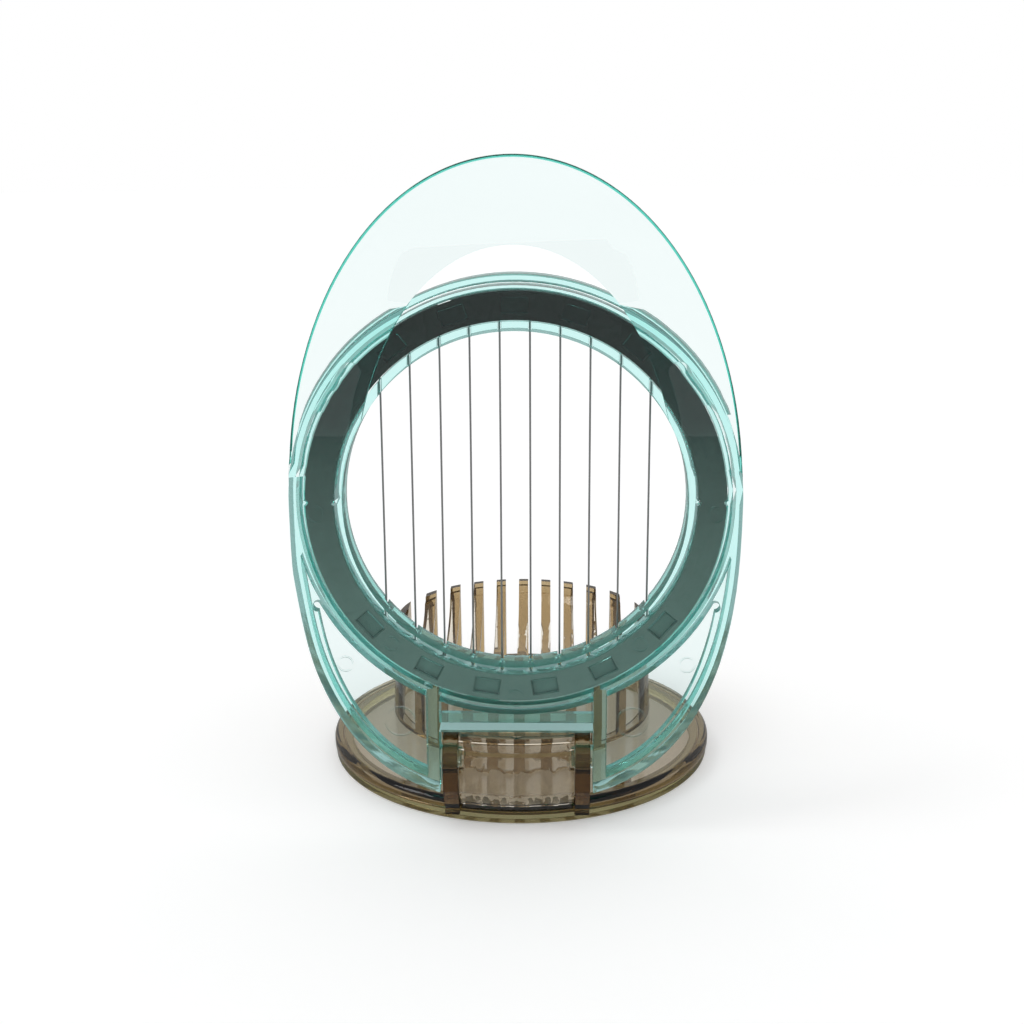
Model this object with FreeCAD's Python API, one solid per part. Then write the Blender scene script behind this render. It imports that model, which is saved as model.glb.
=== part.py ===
import FreeCAD, Part
import math
import os

# Egg slicer, standing open. Millimetres, +Z up. The origin is the centre of the round foot, on
# the table. X runs along the hinge, and the hinge is on the -Y side of the base.
# The cutting frame is drawn closed, about its own hinge: X along the hinge, Y out along the
# frame, Z up through it. It is then turned up by open_angle and set on the hinge.

Vec = FreeCAD.Vector
ALONG_X = Vec(1, 0, 0)
ALONG_Y = Vec(0, 1, 0)
UP = Vec(0, 0, 1)

# ---- driving sizes: wires ----
wire_pitch = 6.0
wire_count = 10
wire_diameter = 0.4
wire_level = -0.5            # wire centre line, below the hinge axis when closed

# ---- driving sizes: cutting frame ----
open_angle = 90.0
ring_reach = 56.7            # hinge axis to the centre of the ring
opening_radius = 34.7        # clear opening of the ring
inner_wall = 1.8
frame_radius = 45.5          # outside of the round part, which is half the frame's width
tail_reach = 64.7            # ring centre to the end of the arms
tail_fullness = 2.55         # 2 is a plain ellipse, more is squarer
visor_reach = 68.3           # ring centre to the tip of the visor
visor_rise = 15.0            # how far the tip stands above the frame
visor_start_angle = 3.0      # slope where it leaves the frame
visor_inset = 0.15           # each side, where it grows out of the round part
tail_points = 16             # steps of the tail's outline
weld_step = 0.1              # keeps faces that merge from lying exactly on each other
finger_gap_reach = 51.9      # ring centre to the top of the finger opening
finger_gap_half_width = 32.0
frame_top = 5.0              # upper face above the hinge axis
web_thickness = 1.6
visor_wall = 1.2
skirt_depth = 8.0            # outer wall, top to bottom
inner_wall_depth = 7.4
outer_wall = 1.4
channel_wall = 0.9
collar_wall = 1.5
collar_lip = 0.8
leaf_steps = [(1.5, 1.0, 1.0), (3.0, 2.0, 0.5)]    # in from the rim, out from the collar, share of height
leaf_tip_round = 2.0
pane_step_width = 2.0        # thicker border inside the tail's outer wall
pane_step_depth = 4.0        # its thickness
pane_tip_angle = 28.3        # from the ring's cross line down to the round tips of the panes
pane_tip_offset = 0.8        # tip centre outside the round rim
pane_tip_round = 1.0
arm_wall = 2.8
bar_wall = 1.8
slit_width = 0.7
slit_clearance = 0.05        # over the wire
mark_depth = 0.2             # round marks that the mould's ejector pins leave in the upper face
mark_line = 0.25
middle_marks = [(40.4, 1.9), (-41.4, 1.9)]         # along from the ring centre, radius
side_marks = [(24.1, -46.7, 3.3), (35.2, -34.0, 1.7), (25.5, -29.5, 1.6), (40.15, -2.0, 1.7)]

# ---- driving sizes: wire ring ----
ring_band = 5.7              # radial width of the dark ring
ring_depth = 4.2
pad_length = 5.4             # shallow pads of the frame that sit in recesses of the ring
pad_width = 3.4
pad_depth = 1.0
pad_clearance = 0.2
anchor_radius = 40.0         # where the wire ends stop, from the ring centre
ferrule_diameter = 1.5
ferrule_length = 1.8
groove_clearance = 0.1       # wire in its groove
pocket_clearance = 0.1       # end stop in its pocket, radial
pocket_end_gap = 0.2

# ---- driving sizes: hinge ----
hinge_height = 16.0
hinge_setback = 0.4          # hinge axis inside the edge of the base
pin_diameter = 5.0
pin_clearance = 0.05         # radial
pin_overhang = 1.0           # pin end past the cheek's inner face
cheek_gap = 24.6             # between the two cheeks
cheek_thickness = 3.3
cheek_wall = 3.3             # plastic round the pin hole
cheek_back_lean = 0.8
cheek_back_drop = 6.0
cheek_heel = 0.2
cheek_heel_rise = 1.6
cheek_toe = 1.0
cheek_toe_lean = 0.4
cheek_toe_rise = 3.0
arm_clearance = 0.5          # cheek to arm, each side
block_reach = 7.0            # furthest any of the hinge block comes from the axis on the swing side
swing_gap = 0.6              # hinge block to the frame's cross bar
cover_wall = 1.8
cover_back_wall = 1.4
cover_above_eye = 0.5
cover_lip_height = 1.6
cover_lip_reach = 1.1        # lip past the neck under it
cover_neck = 2.2             # height of that neck
cover_front_in = 0.3         # front face inside the cheek's eye
cover_belly_drop = 2.0       # heights of the front face's corners below the hinge
cover_low_drop = 7.0
cover_belly_out = 0.1
cover_low_in = 1.2
cover_foot_out = 0.5
cover_foot_rise = 0.9
cover_waist_rise = 3.4
cover_shelf_rise = 2.5
pin_room = 0.4               # cover to pin, all round
pin_end_room = 0.3

# ---- driving sizes: base and cradle ----
base_radius = 45.4
base_top = 5.2
base_wall = 2.2
rim_round = 1.5
foot_height = 2.3
foot_inset = 0.3
foot_width = 4.0
foot_chamfer = 0.5
cradle_top = 28.2
cradle_radius = 31.0         # at the rim
cradle_draft = 1.2           # foot radius less rim radius
rim_land = 2.7               # flat rim round the bowl
bowl_depth = 11.7
bowl_step = 1.0
bowl_flat = 0.06             # part of the bowl's curve, in radians, that is flat at its bottom
slot_width = 3.5
cradle_wall = 2.0
bowl_wall = 1.8
foot_hoop = 1.2              # height of the uncut ring at the cradle's foot
post_radius = 2.9            # two round posts under the base, one each side of the hinge
post_wall = 0.9
post_out = 22.5
post_back = 30.0
post_lift = 0.4

# ---- clearances between pieces that only lie beside each other ----
side_gap = 0.2
nub_size = 1.1

# ---- worked out ----
FAR = 400.0
BEYOND = 1.0                 # how far a cutter runs past what it cuts
HAIR = 0.01                  # the same place, within rounding
line_weld = 2 * weld_step
rim_weld = 3 * weld_step
web_weld = 5 * weld_step
hinge_y = -(base_radius - hinge_setback)
web_bottom = frame_top - web_thickness
skirt_bottom = frame_top - skirt_depth
inner_wall_bottom = frame_top - inner_wall_depth
ring_inner = opening_radius + inner_wall + side_gap
ring_outer = ring_inner + ring_band
ring_middle = (ring_inner + ring_outer) / 2
ring_bottom = web_bottom - ring_depth
channel_inner = ring_outer + side_gap
pin_radius = pin_diameter / 2
cheek_outer = cheek_gap / 2 + cheek_thickness
arm_inner = cheek_outer + arm_clearance
arm_outer = arm_inner + arm_wall
arm_middle = arm_inner + arm_wall / 2
arm_top = ring_reach - math.sqrt((frame_radius - outer_wall) ** 2 - arm_outer ** 2)
pin_end = cheek_gap / 2 - pin_overhang
bar_near = block_reach + swing_gap
bar_far = bar_near + bar_wall
cover_half = (cheek_gap - side_gap) / 2
cheek_radius = pin_radius + cheek_wall
block_top = cheek_radius + cover_above_eye
cradle_y = hinge_y + ring_reach
cradle_foot_radius = cradle_radius + cradle_draft
slot_bottom = base_top + foot_hoop
start_slope = math.radians(visor_start_angle)
visor_curve = (visor_reach ** 2 + visor_rise ** 2) / (
    2 * (visor_rise * math.cos(start_slope) - visor_reach * math.sin(start_slope)))
visor_centre = Vec(-FAR / 2, ring_reach - visor_curve * math.sin(start_slope),
                   frame_top + visor_curve * math.cos(start_slope))
WIRE_PLACES = [(i - (wire_count - 1) / 2) * wire_pitch for i in range(wire_count)]


def box(x0, x1, y0, y1, z0, z1):
    return Part.makeBox(x1 - x0, y1 - y0, z1 - z0, Vec(x0, y0, z0))


def both_sides(shape):
    return shape.fuse(shape.mirror(Vec(0, 0, 0), ALONG_X))


def tube(outer, inner, z0, z1, centre_y):
    centre = Vec(0, centre_y, z0)
    return Part.makeCylinder(outer, z1 - z0, centre).cut(Part.makeCylinder(inner, z1 - z0, centre))


def revolved(corners, centre_y):
    """A closed (radius, height) outline turned about an upright axis."""
    points = [Vec(r, centre_y, z) for r, z in corners]
    face = Part.Face(Part.makePolygon(points + points[:1]))
    return face.revolve(Vec(0, centre_y, 0), UP, 360)


def one_solid(shape):
    shape = shape.removeSplitter()
    if len(shape.Solids) == 1:
        return shape.Solids[0]
    return shape


def raised(shape):
    """Turns a shape drawn on the closed frame up to where the open frame stands."""
    shape = shape.copy()
    shape.rotate(Vec(0, 0, 0), ALONG_X, open_angle)
    shape.translate(Vec(0, hinge_y, hinge_height))
    return shape


# ---- outlines of the cutting frame, about the ring centre ----

def half_ellipse_face(half_width, reach):
    """Upper half of an ellipse, closed along the ring's cross line."""
    ellipse = Part.Ellipse(Vec(0, reach, 0), Vec(half_width, 0, 0), Vec(0, 0, 0))
    arc = Part.ArcOfEllipse(ellipse, -math.pi / 2, math.pi / 2).toShape()
    ends = [arc.Vertexes[0].Point, arc.Vertexes[-1].Point]
    face = Part.Face(Part.Wire([arc, Part.makeLine(ends[1], ends[0])]))
    face.translate(Vec(0, ring_reach, 0))
    return face


def tail_face(inset):
    """Lower half: a full oval that runs down to the ends of the two arms."""
    half_width = frame_radius - inset
    reach = tail_reach - inset
    power = 2 / tail_fullness
    points = []
    for i in range(tail_points + 1):
        angle = math.pi * i / tail_points
        across = math.copysign(abs(math.cos(angle)) ** power, math.cos(angle))
        down = math.sin(angle) ** power
        points.append(Vec(half_width * across, -reach * down, 0))
    curve = Part.BSplineCurve()
    curve.interpolate(Points=points, InitialTangent=Vec(0, -1, 0), FinalTangent=Vec(0, 1, 0))
    face = Part.Face(Part.Wire([curve.toShape(), Part.makeLine(points[-1], points[0])]))
    face.translate(Vec(0, ring_reach, 0))
    return face


def raise_face(face, z0, z1):
    face = face.copy()
    face.translate(Vec(0, 0, z0))
    return face.extrude(Vec(0, 0, z1 - z0))


def visor_sheet(thickness):
    """A sheet that leaves the frame's upper face at the ring's cross line and curls upward."""
    outside = Part.makeCylinder(visor_curve + thickness, FAR, visor_centre, ALONG_X)
    inside = Part.makeCylinder(visor_curve, FAR, visor_centre, ALONG_X)
    ahead = box(-FAR / 2, FAR / 2, ring_reach, ring_reach + FAR, -FAR, frame_top + visor_curve / 2)
    return outside.cut(inside).common(ahead)


def under_visor(share):
    """What lies ahead of the ring's cross line, up to a share of the visor's height."""
    curve = visor_curve / share
    slope = start_slope * share
    centre = Vec(-FAR / 2, ring_reach - curve * math.sin(slope), frame_top + curve * math.cos(slope))
    ahead = box(-FAR / 2, FAR / 2, ring_reach + line_weld, ring_reach + FAR, -FAR, frame_top + FAR / 4)
    return ahead.cut(Part.makeCylinder(curve + visor_wall / 2, FAR, centre, ALONG_X))


def beside_finger_gap(rim_inset, collar_offset, z0, z1):
    """What lies inside the round rim but outside the finger opening: a leaf each side."""
    disc = Part.makeCylinder(frame_radius - rim_inset, z1 - z0, Vec(0, ring_reach, z0))
    gap = raise_face(half_ellipse_face(finger_gap_half_width + collar_offset,
                                       finger_gap_reach + collar_offset), z0 - BEYOND, z1 + BEYOND)
    ahead = box(-FAR / 2, FAR / 2, ring_reach + line_weld, ring_reach + FAR, z0, z1)
    return disc.cut(gap).common(ahead)


def leaf_step(rim_inset, collar_offset, share):
    """A wall under the visor that follows the rim and turns back along the collar."""
    low = web_bottom + web_weld
    high = frame_top + visor_rise
    border = beside_finger_gap(rim_weld, collar_wall / 2, low, high)
    hollow = beside_finger_gap(rim_inset, collar_wall + collar_offset, low - BEYOND, high + BEYOND)
    tips = [edge for edge in hollow.Edges
            if edge.BoundBox.ZLength > visor_rise and edge.BoundBox.XLength < HAIR
            and edge.BoundBox.YMin > ring_reach + frame_radius / 2]
    return border.cut(hollow.makeFillet(leaf_tip_round, tips)).common(under_visor(share))


def visor():
    top = frame_top + visor_rise + web_thickness
    blank = raise_face(half_ellipse_face(frame_radius - visor_inset, visor_reach), 0, top)
    hole = raise_face(half_ellipse_face(finger_gap_half_width, finger_gap_reach), -FAR, FAR)
    bore = Part.makeCylinder(opening_radius + weld_step, 2 * FAR, Vec(0, ring_reach, -FAR))
    hole = hole.fuse(bore)
    plate = blank.common(visor_sheet(visor_wall)).cut(hole)
    wide = raise_face(half_ellipse_face(finger_gap_half_width + collar_wall,
                                        finger_gap_reach + collar_wall), web_bottom, top)
    band = wide.cut(hole)
    over_ring = Part.makeCylinder(frame_radius - rim_weld, FAR, Vec(0, ring_reach, web_bottom + web_weld))
    lip = band.common(visor_sheet(visor_wall + collar_lip)).common(over_ring)
    collar = band.common(under_visor(1)).common(over_ring)
    return plate.fuse([lip, collar] + [leaf_step(*sizes).cut(bore) for sizes in leaf_steps])


def pad_places():
    """Where the pads stand that place the wire ring: between the wires, near and far."""
    places = []
    for step in (1, 3, 5):
        across = step * wire_pitch
        down = math.sqrt(ring_middle ** 2 - across ** 2)
        places.append((across, -down))
        places.append((-across, -down))
    for step in (0, 2, 4):
        across = step * wire_pitch
        up = math.sqrt(ring_middle ** 2 - across ** 2)
        places.append((across, up))
        if step:
            places.append((-across, up))
    return places


def pad_block(place, length, width, z0, z1):
    across, along = place
    block = box(-length / 2, length / 2, -width / 2, width / 2, z0, z1)
    block.rotate(Vec(0, 0, 0), UP, math.degrees(math.atan2(along, across)) - 90)
    block.translate(Vec(across, ring_reach + along, 0))
    return block


def moulding_mark(x, y, radius):
    """Shallow round mark left in the upper face by an ejector pin."""
    place = Vec(x, ring_reach + y, frame_top - mark_depth)
    mark = Part.makeCylinder(radius, mark_depth, place)
    return mark.cut(Part.makeCylinder(radius - mark_line, mark_depth, place))


def pane_pockets(inset, z0, z1):
    """The hollows behind the two panes, between the round rim and the tail's outer wall."""
    angle = math.radians(pane_tip_angle)
    tip_across = (frame_radius + pane_tip_offset) * math.cos(angle)
    tip_down = (frame_radius + pane_tip_offset) * math.sin(angle)
    above = box(-FAR / 2, FAR / 2, ring_reach - tip_down, FAR, -FAR, FAR)
    tips = both_sides(Part.makeCylinder(pane_tip_round, z1 - z0, Vec(tip_across, ring_reach - tip_down, z0)))
    ring = Part.makeCylinder(frame_radius, FAR, Vec(0, ring_reach, -FAR / 2))
    middle = box(-arm_outer, arm_outer, -FAR, FAR, -FAR, FAR)
    return raise_face(tail_face(inset), z0, z1).cut(above).fuse(tips).cut(ring).cut(middle)


def cutting_frame():
    tail = tail_face(0)
    disc = Part.makeCylinder(frame_radius, web_thickness, Vec(0, ring_reach, web_bottom))
    web = raise_face(tail, web_bottom, frame_top).fuse(disc)
    skirt_ring = tube(frame_radius, frame_radius - outer_wall, skirt_bottom, frame_top, ring_reach)
    rim = raise_face(tail, skirt_bottom, frame_top)
    rim = rim.cut(raise_face(tail_face(outer_wall), skirt_bottom, frame_top))
    step_bottom = frame_top - pane_step_depth
    shoulder = raise_face(tail, step_bottom, frame_top)
    shoulder = shoulder.cut(pane_pockets(outer_wall + pane_step_width, step_bottom - BEYOND, web_bottom))
    inside = Part.makeCylinder(frame_radius - outer_wall / 2, FAR, Vec(0, ring_reach, -FAR / 2))
    between_arms = box(-arm_middle, arm_middle, -FAR, FAR, -FAR, FAR)
    shoulder = shoulder.cut(inside).cut(between_arms)
    channel = tube(channel_inner + channel_wall, channel_inner,
                   ring_bottom - nub_size, frame_top, ring_reach)
    plug = Part.makeCylinder(opening_radius + inner_wall, inner_wall_depth,
                             Vec(0, ring_reach, inner_wall_bottom))
    arms = both_sides(box(arm_inner, arm_outer, -FAR, arm_top, skirt_bottom, frame_top))
    arms = arms.common(raise_face(tail, skirt_bottom, frame_top))
    bar = box(-arm_outer, arm_outer, bar_near, bar_far, skirt_bottom, frame_top)
    body = web.fuse([skirt_ring, rim, shoulder, channel, plug, arms, bar])
    body = body.cut(Part.makeCylinder(opening_radius, FAR, Vec(0, ring_reach, -FAR / 2)))
    body = body.cut(box(-arm_inner, arm_inner, -FAR, bar_near, -FAR, FAR))
    body = body.removeSplitter().fuse(visor())
    pins = both_sides(Part.makeCylinder(pin_radius, arm_middle - pin_end,
                                        Vec(pin_end, 0, 0), ALONG_X))
    pads = [pad_block(place, pad_length - 2 * pad_clearance, pad_width - 2 * pad_clearance,
                      web_bottom - pad_depth, frame_top - web_thickness / 2) for place in pad_places()]
    nubs = []
    for side in (-1, 1):
        for radius in (ring_inner - side_gap, ring_outer + side_gap):
            nubs.append(Part.makeCylinder(nub_size / 2, web_bottom - ring_bottom,
                                          Vec(side * radius, ring_reach, ring_bottom)))
    body = body.fuse([pins] + pads + nubs)
    slits = [box(x - slit_width / 2, x + slit_width / 2, ring_reach - channel_inner,
                 ring_reach + channel_inner, inner_wall_bottom,
                 wire_level + wire_diameter / 2 + slit_clearance) for x in WIRE_PLACES]
    slit_reach = tube(opening_radius + inner_wall + side_gap / 2, opening_radius - BEYOND,
                      skirt_bottom, frame_top, ring_reach)
    body = body.cut(Part.makeCompound(slits).common(slit_reach))
    marks = [moulding_mark(0, along, radius) for along, radius in middle_marks]
    for across, along, radius in side_marks:
        marks.append(moulding_mark(across, along, radius))
        marks.append(moulding_mark(-across, along, radius))
    body = body.cut(Part.makeCompound(marks))
    return one_solid(body)


def wire_half_length(x):
    return math.sqrt(anchor_radius ** 2 - x ** 2)


def wire_ring():
    ring = tube(ring_outer, ring_inner, ring_bottom, web_bottom, ring_reach)
    recess_bottom = web_bottom - pad_depth - pad_clearance
    cuts = [pad_block(place, pad_length, pad_width, recess_bottom, web_bottom + BEYOND)
            for place in pad_places()]
    groove = wire_diameter + groove_clearance
    groove_top = wire_level + wire_diameter / 2
    pocket_radius = ferrule_diameter / 2 + pocket_clearance
    pocket_length = ferrule_length + pocket_end_gap
    for x in WIRE_PLACES:
        reach = wire_half_length(x)
        cuts.append(box(x - groove / 2, x + groove / 2, ring_reach - reach, ring_reach + reach,
                        ring_bottom - BEYOND, groove_top))
        for start in (ring_reach + reach, ring_reach - reach - pocket_length):
            cuts.append(Part.makeCylinder(pocket_radius, pocket_length, Vec(x, start, wire_level), ALONG_Y))
    for side in (-1, 1):
        for radius in (ring_inner - side_gap, ring_outer + side_gap):
            cuts.append(Part.makeCylinder(nub_size / 2 + side_gap, ring_depth + 2 * BEYOND,
                                          Vec(side * radius, ring_reach, ring_bottom - BEYOND)))
    return one_solid(ring.cut(Part.makeCompound(cuts)))


def wire(x):
    reach = wire_half_length(x)
    return Part.makeCylinder(wire_diameter / 2, 2 * reach, Vec(x, ring_reach - reach, wire_level), ALONG_Y)


def ferrules(end):
    """The crimped end stops of the ten wires, at one end of the wires."""
    stops = []
    for x in WIRE_PLACES:
        reach = wire_half_length(x)
        start = ring_reach + reach if end > 0 else ring_reach - reach - ferrule_length
        stops.append(Part.makeCylinder(ferrule_diameter / 2, ferrule_length,
                                       Vec(x, start, wire_level), ALONG_Y))
    return Part.makeCompound(stops)


# ---- base ----

def cheek_outline():
    """Side view of a hinge cheek, as (distance from the hinge, height) corners below the eye."""
    return [(-cheek_radius, hinge_height), (cheek_back_lean - cheek_radius, hinge_height - cheek_back_drop),
            (-cheek_heel, foot_height + cheek_heel_rise), (-cheek_heel, foot_height),
            (block_reach + cheek_toe, foot_height), (block_reach - cheek_toe_lean, base_top + cheek_toe_rise),
            (cheek_radius, hinge_height)]


def hinge_cheek(x0, x1):
    points = [Vec(x0, hinge_y + y, z) for y, z in cheek_outline()]
    leg = Part.Face(Part.makePolygon(points + points[:1])).extrude(Vec(x1 - x0, 0, 0))
    eye = Part.makeCylinder(cheek_radius, x1 - x0, Vec(x0, hinge_y, hinge_height), ALONG_X)
    return leg.fuse(eye)


def base_plate():
    plate = revolved([(0, base_top - base_wall), (base_radius - base_wall, base_top - base_wall),
                      (base_radius - base_wall, foot_height), (base_radius, foot_height),
                      (base_radius, base_top), (0, base_top)], 0)
    rim_edges = [edge for edge in plate.Edges
                 if abs(edge.BoundBox.ZMin - base_top) < HAIR and edge.BoundBox.XMax > base_radius - HAIR]
    plate = plate.makeFillet(rim_round, rim_edges)
    cheeks = both_sides(hinge_cheek(cheek_gap / 2, cheek_outer))
    bore = Part.makeCylinder(pin_radius + pin_clearance, FAR,
                             Vec(-FAR / 2, hinge_y, hinge_height), ALONG_X)
    recess = Part.makeCylinder(base_radius - base_wall, FAR, Vec(0, 0, base_top - base_wall - FAR))
    cheeks = cheeks.cut(bore).cut(recess)
    post = tube(post_radius, post_radius - post_wall, post_lift, base_top - base_wall / 2, -post_back)
    post.translate(Vec(post_out, 0, 0))
    return one_solid(plate.fuse([cheeks, both_sides(post)]))


def foot_ring():
    outer = base_radius - foot_inset
    groove = base_radius - base_wall - side_gap
    inner = outer - foot_width
    plate_bottom = base_top - base_wall
    return one_solid(revolved([(inner, 0), (outer - foot_chamfer, 0), (outer, foot_chamfer),
                               (outer, foot_height), (groove, foot_height), (groove, plate_bottom),
                               (inner, plate_bottom)], 0))


def cover_back(height):
    """The cover's inner wall at its middle, so that its sides, further in, stay out of the bar's way."""
    reach = math.sqrt(block_reach ** 2 - height ** 2)
    return math.hypot(-hinge_y - reach, cover_half) + hinge_y


def cover_outline():
    """Section of the hinge cover, as (distance out from the hinge, height) corners."""
    lip_top = hinge_height + block_top
    lip_bottom = lip_top - cover_lip_height
    front = cheek_radius - cover_front_in
    neck = front - cover_lip_reach
    back = cover_back(0)
    belly_height = hinge_height - cover_belly_drop
    low_height = hinge_height - cover_low_drop
    foot = foot_height + cover_foot_rise
    outside = [(lip_top, cover_back(block_top)), (lip_top, front), (lip_bottom, front),
               (lip_bottom, neck), (lip_bottom - cover_neck, neck),
               (lip_bottom - cover_neck - cover_low_in / 3, front), (belly_height, front + cover_belly_out),
               (low_height, front - cover_low_in), (foot, cover_foot_out)]
    inside = [(foot, cover_foot_out - cover_wall), (low_height, front - cover_low_in - cover_wall),
              (belly_height, front - cover_wall),
              (lip_bottom - cover_neck - cover_low_in / 2, neck - cover_wall),
              (lip_top - cover_wall, neck - cover_wall),
              (lip_top - cover_wall, cover_back(block_top) + cover_front_in),
              (hinge_height + cover_shelf_rise, back + cover_back_wall),
              (base_top, back + cover_back_wall), (base_top, back),
              (hinge_height + cover_waist_rise, cover_back(cover_waist_rise))]
    return [(out, z) for z, out in outside + inside]


def hinge_cover():
    centre_to_hinge = -hinge_y
    section = [(centre_to_hinge + out, z) for out, z in cover_outline()]
    turned = revolved(section, 0)
    cover = turned.common(box(-cover_half, cover_half, -FAR, 0, 0, FAR))
    plate = Part.makeCylinder(base_radius + side_gap / 2, base_top, Vec(0, 0, 0))
    cover = cover.cut(plate)
    room = cover_half + BEYOND - pin_end + pin_end_room
    for x in (-cover_half - BEYOND, pin_end - pin_end_room):
        cover = cover.cut(Part.makeCylinder(pin_radius + pin_room, room,
                                            Vec(x, hinge_y, hinge_height), ALONG_X))
    return one_solid(cover)


def bowl(radius, depth):
    """An egg bowl let down from the cradle's top."""
    ellipse = Part.Ellipse(Vec(radius, 0, 0), Vec(0, depth, 0), Vec(0, 0, 0))
    arc = Part.ArcOfEllipse(ellipse, bowl_flat - math.pi / 2, 0).toShape()
    arc.rotate(Vec(0, 0, 0), ALONG_X, 90)
    arc.translate(Vec(0, cradle_y, cradle_top))
    ends = [arc.Vertexes[0].Point, arc.Vertexes[-1].Point]
    centre = Vec(0, cradle_y, cradle_top)
    bottom = Vec(0, cradle_y, ends[0].z)
    face = Part.Face(Part.Wire([Part.makeLine(bottom, ends[0]), arc, Part.makeLine(ends[1], centre),
                                Part.makeLine(centre, bottom)]))
    return face.revolve(centre, UP, 360)


def egg_cradle():
    """A thin bowl inside a thin round wall, slotted for the wires down to a ring at its foot."""
    outside = [(cradle_foot_radius, base_top), (cradle_radius, cradle_top)]
    body = revolved([(0, base_top)] + outside + [(0, cradle_top)], cradle_y)
    inside = [(r - cradle_wall, z) for r, z in outside]
    hollow = revolved([(0, base_top)] + inside + [(0, cradle_top)], cradle_y)
    bowl_radius = cradle_radius - rim_land
    hollow = hollow.cut(bowl(bowl_radius + bowl_wall, bowl_depth + bowl_wall))
    step = Part.makeCylinder(bowl_radius + bowl_step, bowl_step, Vec(0, cradle_y, cradle_top - bowl_step))
    body = body.cut(bowl(bowl_radius, bowl_depth)).cut(step).cut(hollow)
    slots = [box(x - slot_width / 2, x + slot_width / 2, cradle_y - FAR, cradle_y + FAR,
                 slot_bottom, FAR) for x in WIRE_PLACES]
    return one_solid(body.cut(Part.makeCompound(slots)))


os.makedirs("parts", exist_ok=True)
shapes = {
    "base_plate": base_plate(),
    "foot_ring": foot_ring(),
    "hinge_cover": hinge_cover(),
    "egg_cradle": egg_cradle(),
    "cutting_frame": raised(cutting_frame()),
    "wire_ring": raised(wire_ring()),
    "wire_end_stops_near": raised(ferrules(-1)),
    "wire_end_stops_far": raised(ferrules(1)),
}
for number, place in enumerate(WIRE_PLACES, 1):
    shapes[f"cutting_wire_{number:02d}"] = raised(wire(place))
for name, shape in shapes.items():
    shape.exportStep(f"parts/{name}.step")
    print(name, len(shape.Solids), "solid", round(shape.Volume, 1), "mm3", shape.isValid())
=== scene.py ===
import math

import bmesh
import bpy
from mathutils import Matrix, Vector


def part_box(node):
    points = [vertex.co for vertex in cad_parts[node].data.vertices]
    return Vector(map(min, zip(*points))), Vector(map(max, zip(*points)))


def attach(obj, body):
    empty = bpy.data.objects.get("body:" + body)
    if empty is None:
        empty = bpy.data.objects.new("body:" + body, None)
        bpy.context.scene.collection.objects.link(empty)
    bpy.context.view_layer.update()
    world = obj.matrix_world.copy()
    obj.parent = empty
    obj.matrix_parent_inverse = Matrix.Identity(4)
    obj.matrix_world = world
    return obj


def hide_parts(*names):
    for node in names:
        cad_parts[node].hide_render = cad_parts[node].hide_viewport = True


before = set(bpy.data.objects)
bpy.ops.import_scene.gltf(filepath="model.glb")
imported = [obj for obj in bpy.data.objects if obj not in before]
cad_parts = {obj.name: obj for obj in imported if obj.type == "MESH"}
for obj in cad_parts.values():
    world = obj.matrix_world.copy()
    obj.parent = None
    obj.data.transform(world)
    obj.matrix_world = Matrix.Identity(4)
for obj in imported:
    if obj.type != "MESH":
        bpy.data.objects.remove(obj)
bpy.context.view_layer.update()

MM = 0.001

# ---- how the object is looked at ----
CAMERA_PLACE = Vector((6.7, -327.3, 143.9)) * MM
CAMERA_DOWN = math.radians(14.69)
CAMERA_TURN = math.radians(1.51)
CAMERA_ROLL = math.radians(-0.33)
CAMERA_LENS = 50.34
CAMERA_SENSOR = 36.0

# ---- the studio ----
TABLE_RADIUS = 4.0
TABLE_POINTS = 96
TABLE_ROUGHNESS = 0.9
TABLE_GLOW = 0.25
TABLE_GLOSS = 0.1
KEY_FROM = Vector((-0.8, -0.2, 0.85))
KEY_ANGLE = math.radians(28)
KEY_STRENGTH = 0.5
SKY_SIDE = 0.45              # how high, as a direction's Z, the sky starts to dim
SKY_TOP = 0.95
SKY_DIM = 0.45               # how much of its light is gone overhead
GLOSS_LIGHT = 0.5            # how bright the studio is to gloss, which draws clear edges dark
LIGHT_TURNS = 24             # light turns many times inside a clear moulding before it comes out
GLOSS_TURNS = 16

# ---- how the mouldings are made from the CAD pieces ----
SKIN_GAP = 0.03 * MM         # pieces that lie on each other keep this much air, on each side
MOST_SHELL = 2.0             # a sharp corner moves in at most this many gaps
SAME_POINT = 0.002 * MM
SAME_PLANE = math.radians(0.3)
SHARP_EDGE = math.radians(30)
EDGE_STEPS = 2
EDGE_ROOM = 2.2              # an edge is rounded where the lines round it are this many times the rounding
VISOR_ROLL = 0.5 * MM        # how far in the visor's outer edge is rounded
VISOR_STEPS = 4
VISOR_ROOM = 0.3 * MM
VISOR_START = 0.1            # where the rounding starts, as a share of the visor's height
VISOR_EDGE = 0.985           # how far out, as a share of its half width, its outer edge is
SQUARE_ON = 0.99999          # how nearly a normal lies along an axis for its face to be flat
FLAT_AREA = 60 * MM * MM     # a face this big that lies along an axis is shaded flat
WALL_SLOPE = 0.5             # a face steeper than this is a wall
# the thin way through the sheets of the two big mouldings
FRAME_SHEET = Vector((0, 1, 0))
BASE_SHEET = Vector((0, 0, 1))
FRAME_EDGE = 0.18 * MM
BASE_EDGE = 0.2 * MM
FOOT_EDGE = 0.1 * MM
RING_EDGE = 0.12 * MM


# ---- shader maths: Python operators that add Math nodes ----

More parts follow.
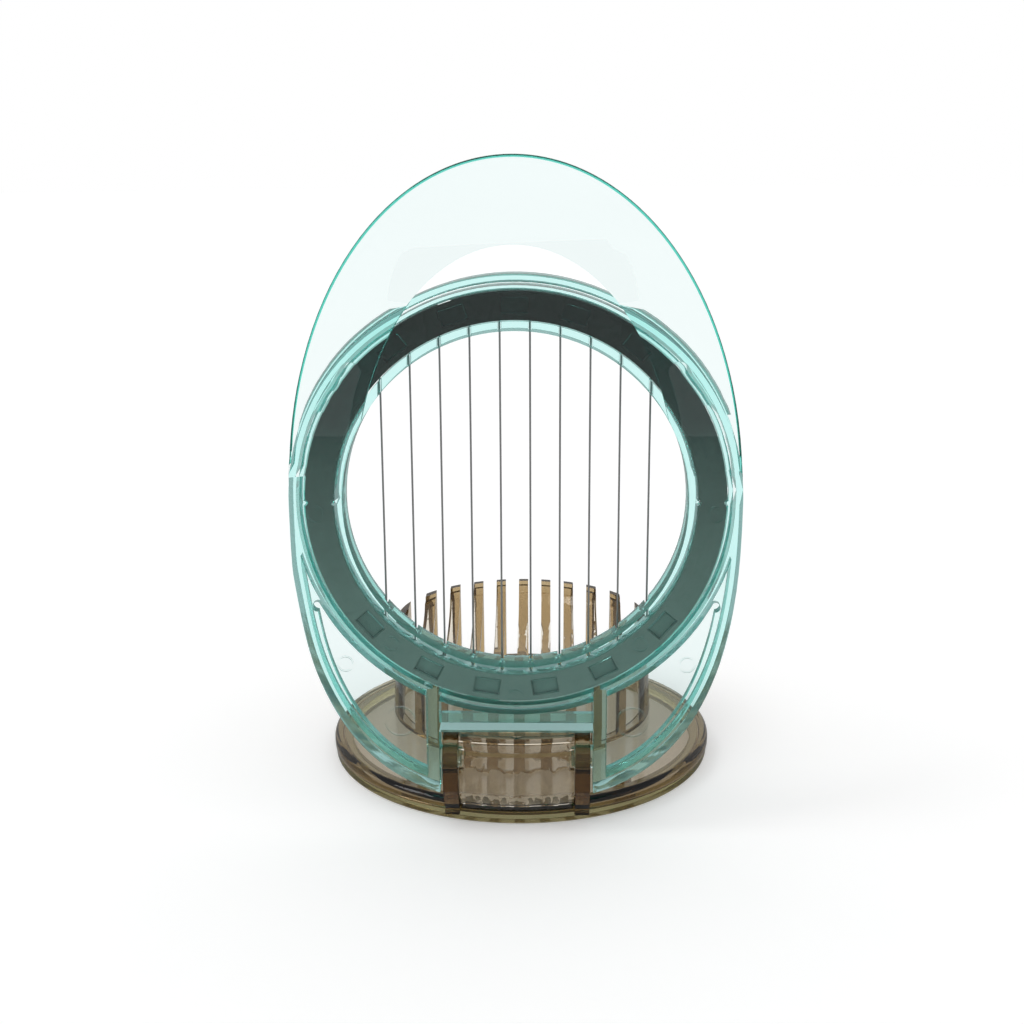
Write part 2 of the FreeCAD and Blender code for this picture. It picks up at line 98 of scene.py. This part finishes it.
class Sum:
    """A socket, or what came of one, that the operators below turn into Math nodes."""

    def __init__(self, finish, socket):
        self.finish, self.socket = finish, socket

    def maths(self, operation, *values):
        node = self.finish.node("Math", {"operation": operation}, dict(enumerate(values)))
        return Sum(self.finish, node.outputs[0])

    def __add__(self, other):
        return self.maths("ADD", self, other)

    def __radd__(self, other):
        return self.maths("ADD", other, self)

    def __rsub__(self, other):
        return self.maths("SUBTRACT", other, self)

    def __mul__(self, other):
        return self.maths("MULTIPLY", self, other)

    def over(self, low, high):
        """0 below low, 1 above high, a smooth step between."""
        settings = {"interpolation_type": "SMOOTHSTEP", "clamp": True}
        node = self.finish.node("MapRange", settings, {"Value": self, "From Min": low, "From Max": high})
        return Sum(self.finish, node.outputs["Result"])


class Finish:
    """One material, built node by node."""

    def __init__(self, name):
        self.material = bpy.data.materials.new(name)
        self.start(self.material, "ShaderNodeOutputMaterial")

    def start(self, owner, end):
        owner.use_nodes = True
        self.tree = owner.node_tree
        self.tree.nodes.clear()
        self.end = self.tree.nodes.new(end)

    def node(self, kind, settings=None, sockets=None):
        made = self.tree.nodes.new("ShaderNode" + kind)
        for key, value in (settings or {}).items():
            setattr(made, key, value)
        for key, value in (sockets or {}).items():
            self.plug(made.inputs[key], value)
        return made

    def plug(self, socket, value):
        if isinstance(value, Sum):
            value = value.socket
        if isinstance(value, bpy.types.NodeSocket):
            self.tree.links.new(value, socket)
        else:
            socket.default_value = value

    def place(self, scale=(1, 1, 1)):
        """Where a point lies on the piece, in metres, stretched by scale."""
        where = self.node("TexCoord").outputs["Object"]
        return self.node("Mapping", {}, {"Vector": where, "Scale": scale}).outputs["Vector"]

    def noise(self, scale, detail, rough, stretch=(1, 1, 1)):
        made = self.node("TexNoise", {}, {"Vector": self.place(stretch), "Scale": scale,
                                          "Detail": detail, "Roughness": rough})
        return Sum(self, made.outputs[0])

    def height(self, vector):
        return Sum(self, self.node("SeparateXYZ", {}, {"Vector": vector}).outputs["Z"])

    def attribute(self, name):
        return Sum(self, self.node("Attribute", {"attribute_name": name}).outputs["Fac"])

    def in_gloss(self):
        """1 where the surface is seen in a reflection, 0 elsewhere."""
        return Sum(self, self.node("LightPath").outputs["Glossy Depth"]).over(0.0, 1.0)

    def tint(self, factor, low, high):
        made = self.node("Mix", {"data_type": "RGBA"}, {})
        self.plug(made.inputs[0], factor)
        self.plug(made.inputs[6], low if hasattr(low, "node") else (*low, 1.0))
        self.plug(made.inputs[7], high if hasattr(high, "node") else (*high, 1.0))
        return made.outputs[2]

    def bump(self, height, strength, distance):
        made = self.node("Bump", {}, {"Height": height, "Strength": strength, "Distance": distance})
        return made.outputs["Normal"]

    def surface(self, **sockets):
        named = {key.replace("_", " "): value for key, value in sockets.items()}
        shader = self.node("BsdfPrincipled", {}, named)
        self.plug(self.end.inputs["Surface"], shader.outputs["BSDF"])
        return shader

    def absorb(self, colour, density):
        """How the plastic darkens with depth."""
        made = self.node("VolumeAbsorption", {}, {"Color": (*colour, 1.0), "Density": density})
        self.plug(self.end.inputs["Volume"], made.outputs["Volume"])


class Sky(Finish):
    """The light all round, built in the same way."""

    def __init__(self, name):
        self.world = bpy.data.worlds.new(name)
        self.start(self.world, "ShaderNodeOutputWorld")


def clear_plastic(name, low, high, depth_colour, density, index, wall_painted_shade, rim_painted_shade, milk):
    """A polished clear moulding: faint flow lines and dust in its finish, colour from its depth.
    Its walls get painted shade, a deeper tint standing in for the long way light goes through them, and
    scatter a little light; its rounded edges get the darkest painted shade, standing in for the light
    turned back inside them."""
    finish = Finish(name)
    wall = finish.attribute("wall")
    rim = finish.attribute("rim")
    flow = finish.noise(scale=38.0, detail=3.0, rough=0.5, stretch=(1.0, 1.0, 0.35))
    dust = finish.noise(scale=1400.0, detail=2.0, rough=0.6)
    scuffs = finish.noise(scale=220.0, detail=4.0, rough=0.65, stretch=(1.0, 4.0, 1.0))
    polished, worn, dusty = 0.012, scuffs.over(0.6, 0.75) * 0.05, dust.over(0.62, 0.72) * 0.03
    grain = finish.bump(flow * 0.6 + scuffs * 0.05, strength=0.12, distance=0.6 * MM)
    sheet_tint = finish.tint(flow, low, high)
    # painted shade: walls and rounded edges are coloured darker than the sheet, standing in for light's
    # long path and internal reflection there
    clear = finish.surface(
        Base_Color=finish.tint(rim, finish.tint(wall, sheet_tint, wall_painted_shade), rim_painted_shade),
        Roughness=polished + worn + dusty,
        Transmission_Weight=1.0,
        IOR=index,
        Normal=grain,
    )
    scatter = finish.node("BsdfTranslucent", {}, {"Color": (*wall_painted_shade, 1.0), "Normal": grain})
    both = finish.node("MixShader", {}, {0: wall * milk, 1: clear.outputs[0], 2: scatter.outputs[0]})
    finish.plug(finish.end.inputs["Surface"], both.outputs[0])
    finish.absorb(depth_colour, density)
    return finish.material


def mint_plastic():
    return clear_plastic(
        "mint clear plastic", low=(0.97, 1.0, 0.995), high=(0.985, 1.0, 1.0),
        depth_colour=(0.0, 0.86, 0.8), density=58.0, index=1.5,
        # the wall and rim colours here are painted shade: darker teal on the walls, darkest on the rounded
        # edges
        wall_painted_shade=(0.48, 0.98, 0.92), rim_painted_shade=(0.12, 0.66, 0.54), milk=0.14)


def smoke_plastic(name, density):
    return clear_plastic(
        name, low=(0.97, 0.96, 0.94), high=(1.0, 0.99, 0.97),
        depth_colour=(0.5, 0.33, 0.0), density=density, index=1.5,
        # the wall and rim colours here are painted shade: a darker brown band on the walls and rounded
        # edges
        wall_painted_shade=(0.6, 0.48, 0.3), rim_painted_shade=(0.5, 0.38, 0.2), milk=0.04)


def foot_vinyl():
    return clear_plastic(
        "olive foot vinyl", low=(0.93, 0.92, 0.84), high=(0.97, 0.96, 0.9),
        depth_colour=(0.5, 0.45, 0.0), density=120.0, index=1.48,
        # the wall and rim colours here are painted shade: a darker olive on the walls and rounded edges
        wall_painted_shade=(0.85, 0.82, 0.6), rim_painted_shade=(0.8, 0.76, 0.52), milk=0.2)


def ring_plastic():
    """Dark grey-green plastic, with painted light and shade: paler towards the bottom, near the hinge, and
    darker towards the top.
    """
    finish = Finish("dark ring plastic")
    grain = finish.noise(scale=900.0, detail=3.0, rough=0.6)
    flow = finish.noise(scale=60.0, detail=2.0, rough=0.5)
    # painted light and shade: the colour goes from pale at the bottom, near the hinge, to nearly black at
    # the top, standing in for how light falls on the ring
    painted_light_below = 1 - finish.height(finish.place()).over(30 * MM, 115 * MM)
    painted_shade_colour = finish.tint(flow, (0.002, 0.012, 0.009), (0.005, 0.018, 0.014))
    pale = finish.tint(flow, (0.17, 0.27, 0.235), (0.21, 0.32, 0.28))
    finish.surface(
        Base_Color=finish.tint(painted_light_below, painted_shade_colour, pale),
        Roughness=0.22 + grain * 0.12,
        Specular_IOR_Level=0.15,
        Normal=finish.bump(grain, strength=0.15, distance=0.05 * MM),
    )
    return finish.material


def wire_steel():
    finish = Finish("drawn steel wire")
    drawn = finish.noise(scale=2600.0, detail=2.0, rough=0.5, stretch=(1.0, 1.0, 0.03))
    finish.surface(
        Base_Color=finish.tint(drawn, (0.3, 0.305, 0.305), (0.55, 0.555, 0.55)),
        Metallic=1.0,
        Roughness=0.25 + drawn * 0.15,
        Normal=finish.bump(drawn, strength=0.3, distance=0.03 * MM),
    )
    return finish.material


# ---- mouldings: the CAD piece with its edges rounded and its curved faces smooth ----

def is_sharp(line):
    return line.is_manifold and line.calc_face_angle(0) > SHARP_EDGE


def round_over(bm, edges, size, steps, room, clamp):
    """Rounds the sharp edges that have room for it. Gives the new faces."""
    roomy = [line for line in edges if is_sharp(line)
             and min(near.calc_length() for v in line.verts for near in v.link_edges) > room]
    return bmesh.ops.bevel(bm, geom=roomy, offset=size, affect="EDGES", segments=steps, profile=0.5,
                           material=-1, clamp_overlap=clamp)["faces"]


def moulded(node, body, material, edge, across, rolled=None):
    """A copy of a CAD piece with rounded edges, a hair inside its own faces, which stands for it."""
    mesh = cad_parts[node].data.copy()
    bm = bmesh.new()
    bm.from_mesh(mesh)
    bmesh.ops.remove_doubles(bm, verts=bm.verts, dist=SAME_POINT)
    bmesh.ops.dissolve_limit(bm, angle_limit=SAME_PLANE, verts=bm.verts, edges=bm.edges)
    bm.normal_update()
    for vert in bm.verts:
        vert.co -= vert.normal * SKIN_GAP * min(vert.calc_shell_factor(), MOST_SHELL)
    bm.normal_update()
    wall = bm.faces.layers.float.new("wall")
    rim = bm.faces.layers.float.new("rim")
    if rolled:
        outline = [line for line in bm.edges if all(rolled(v.co) for v in line.verts)]
        for face in round_over(bm, outline, VISOR_ROLL, VISOR_STEPS, VISOR_ROOM, False):
            face[rim] = 1.0
    broken = round_over(bm, bm.edges, edge, EDGE_STEPS, EDGE_ROOM * edge, True)
    bm.normal_update()
    for face in broken:
        face[rim] = 1.0
    for face in bm.faces:
        straight = max(abs(part) for part in face.normal) > SQUARE_ON
        level = abs(face.normal.dot(across))
        face.smooth = not (level > SQUARE_ON or straight and face.calc_area() > FLAT_AREA)
        face[wall] = 1.0 if level < WALL_SLOPE and not face[rim] else 0.0
    for line in bm.edges:
        line.smooth = not is_sharp(line)
    bm.to_mesh(mesh)
    bm.free()
    mesh.materials.clear()
    mesh.materials.append(material)
    piece = bpy.data.objects.new(node + "_moulding", mesh)
    bpy.context.scene.collection.objects.link(piece)
    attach(piece, body)
    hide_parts(node)
    return piece


FRAME_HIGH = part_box("cutting_frame")[1]
RING_MIDDLE = sum(corner[2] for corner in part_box("wire_ring")) / 2


def on_visor_outline(point):
    """Whether a point of the frame lies on the visor's outer edge, which is half an ellipse."""
    across = point.x / FRAME_HIGH[0]
    up = (point.z - RING_MIDDLE) / (FRAME_HIGH[2] - RING_MIDDLE)
    return up > VISOR_START and math.hypot(across, up) > VISOR_EDGE


def finish_node(node, material):
    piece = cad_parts[node]
    piece.data.materials.clear()
    piece.data.materials.append(material)


mint = mint_plastic()
vinyl = foot_vinyl()
smoke = smoke_plastic("smoke brown clear plastic", density=200.0)
pale_smoke = smoke_plastic("smoke cover plastic", density=110.0)
dark_ring = ring_plastic()
steel = wire_steel()

moulded("cutting_frame", "frame", mint, FRAME_EDGE, FRAME_SHEET, on_visor_outline)
moulded("base_plate", "base", smoke, BASE_EDGE, BASE_SHEET)
moulded("hinge_cover", "base", pale_smoke, BASE_EDGE, FRAME_SHEET)
moulded("egg_cradle", "base", smoke, BASE_EDGE, BASE_SHEET)
moulded("foot_ring", "base", vinyl, FOOT_EDGE, BASE_SHEET)
moulded("wire_ring", "frame", dark_ring, RING_EDGE, FRAME_SHEET)
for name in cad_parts:
    if name.startswith("cutting_wire") or name.startswith("wire_end_stops"):
        finish_node(name, steel)


# ---- the table, the light and the camera ----

def table_top():
    bm = bmesh.new()
    bmesh.ops.create_circle(bm, cap_ends=True, segments=TABLE_POINTS, radius=TABLE_RADIUS)
    mesh = bpy.data.meshes.new("table")
    bm.to_mesh(mesh)
    bm.free()
    piece = bpy.data.objects.new("table", mesh)
    bpy.context.scene.collection.objects.link(piece)
    finish = Finish("pale table")
    cloud = finish.noise(scale=6.0, detail=2.0, rough=0.5)
    paper = finish.tint(cloud, (0.9, 0.9, 0.9), (0.93, 0.93, 0.93))
    seen = finish.tint(finish.in_gloss(), paper, (GLOSS_LIGHT, GLOSS_LIGHT, GLOSS_LIGHT))
    finish.surface(Base_Color=seen, Roughness=TABLE_ROUGHNESS, Emission_Color=seen,
                   Emission_Strength=TABLE_GLOW, Specular_IOR_Level=TABLE_GLOSS)
    mesh.materials.append(finish.material)


def key_light():
    """A broad soft light from the upper left."""
    lamp = bpy.data.lights.new("key", "SUN")
    lamp.angle = KEY_ANGLE
    lamp.energy = KEY_STRENGTH
    holder = bpy.data.objects.new("key", lamp)
    holder.rotation_euler = KEY_FROM.to_track_quat("Z", "Y").to_euler()
    bpy.context.scene.collection.objects.link(holder)


def sky_light():
    """White all round, dimmer overhead, and dimmer where gloss shows it."""
    sky = Sky("studio")
    overhead = sky.height(sky.node("TexCoord").outputs["Generated"]).over(SKY_SIDE, SKY_TOP)
    strength = (1 - overhead * SKY_DIM) * (1 - sky.in_gloss() * (1 - GLOSS_LIGHT))
    white = sky.node("Background", {}, {"Color": (1, 1, 1, 1), "Strength": strength})
    sky.plug(sky.end.inputs["Surface"], white.outputs["Background"])
    bpy.context.scene.world = sky.world


def light_paths():
    paths = bpy.context.scene.cycles
    paths.max_bounces = LIGHT_TURNS
    paths.transmission_bounces = LIGHT_TURNS
    paths.glossy_bounces = GLOSS_TURNS


def camera():
    lens = bpy.data.cameras.new("camera")
    lens.lens = CAMERA_LENS
    lens.sensor_width = CAMERA_SENSOR
    holder = bpy.data.objects.new("camera", lens)
    turn = Matrix.Rotation(CAMERA_TURN, 4, "Z") @ Matrix.Rotation(math.pi / 2 - CAMERA_DOWN, 4, "X")
    holder.matrix_world = Matrix.Translation(CAMERA_PLACE) @ turn @ Matrix.Rotation(CAMERA_ROLL, 4, "Z")
    bpy.context.scene.collection.objects.link(holder)
    bpy.context.scene.camera = holder


table_top()
key_light()
sky_light()
light_paths()
bpy.context.scene.view_settings.view_transform = "Standard"
camera()
